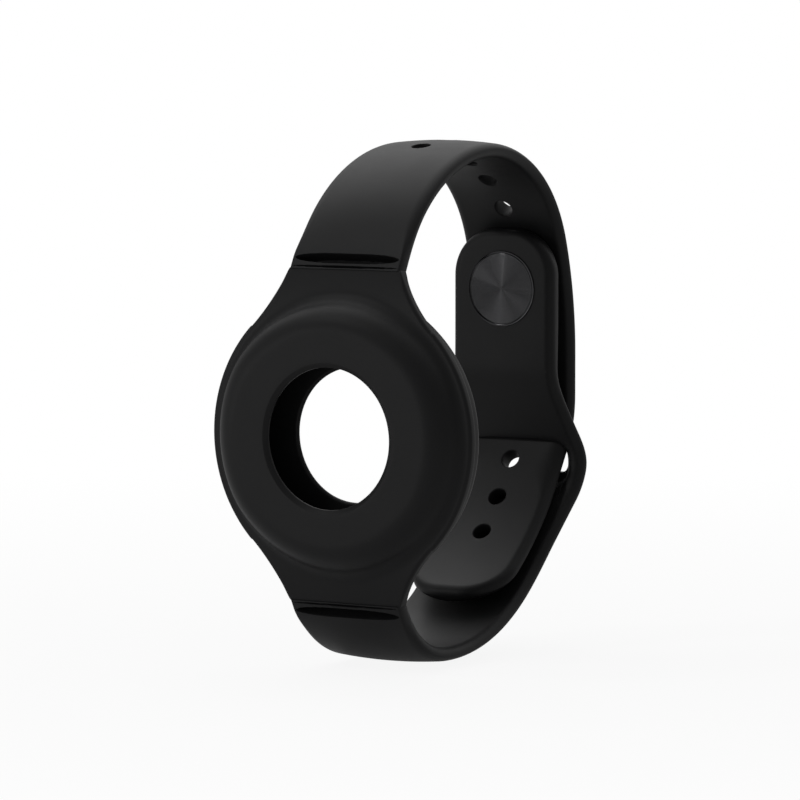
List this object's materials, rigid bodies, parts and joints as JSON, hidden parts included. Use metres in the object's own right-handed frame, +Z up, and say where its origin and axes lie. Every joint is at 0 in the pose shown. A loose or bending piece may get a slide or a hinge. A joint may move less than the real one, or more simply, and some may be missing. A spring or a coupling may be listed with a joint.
{
  "type": "tracker tag wristband holder",
  "caption": "Soft wristband with a round front pod that holds a coin-shaped tracker tag between two windowed lips, closed by a stud tab and a tuck-through tail.",
  "frame": {"origin": "middle of the wrist opening, halfway across the strap", "axes": "+X across the strap along the wrist, -Y towards the pod's front, +Z up"},
  "size_m": [0.0432, 0.0581, 0.0752],
  "materials": {
    "silicone": "matte moulded",
    "stud_metal": "spun, darkened"
  },
  "bodies": {
    "band": {"tag_pod": "silicone", "hole_strap": "silicone", "slot_strap": "silicone"},
    "stud_tab": {"stud_tab": "silicone", "stud_disc": "stud_metal", "stud_base": "stud_metal", "stud_pin": "stud_metal"},
    "strap_tail": {"strap_tail": "silicone"}
  },
  "joints": [
    {"name": "stud_tab_peel", "type": "hinge", "parent": "band", "child": "stud_tab", "pos_m": [0, 0.02586, -0.00585], "axis": [1, 0, 0], "range_deg": [0, 30], "stiffness_Nm_per_rad": 0.03},
    {"name": "tail_lift", "type": "hinge", "parent": "band", "child": "strap_tail", "pos_m": [0, 0.02442, -0.00807], "axis": [-1, 0, 0], "range_deg": [0, 28], "stiffness_Nm_per_rad": 0.02}
  ]
}
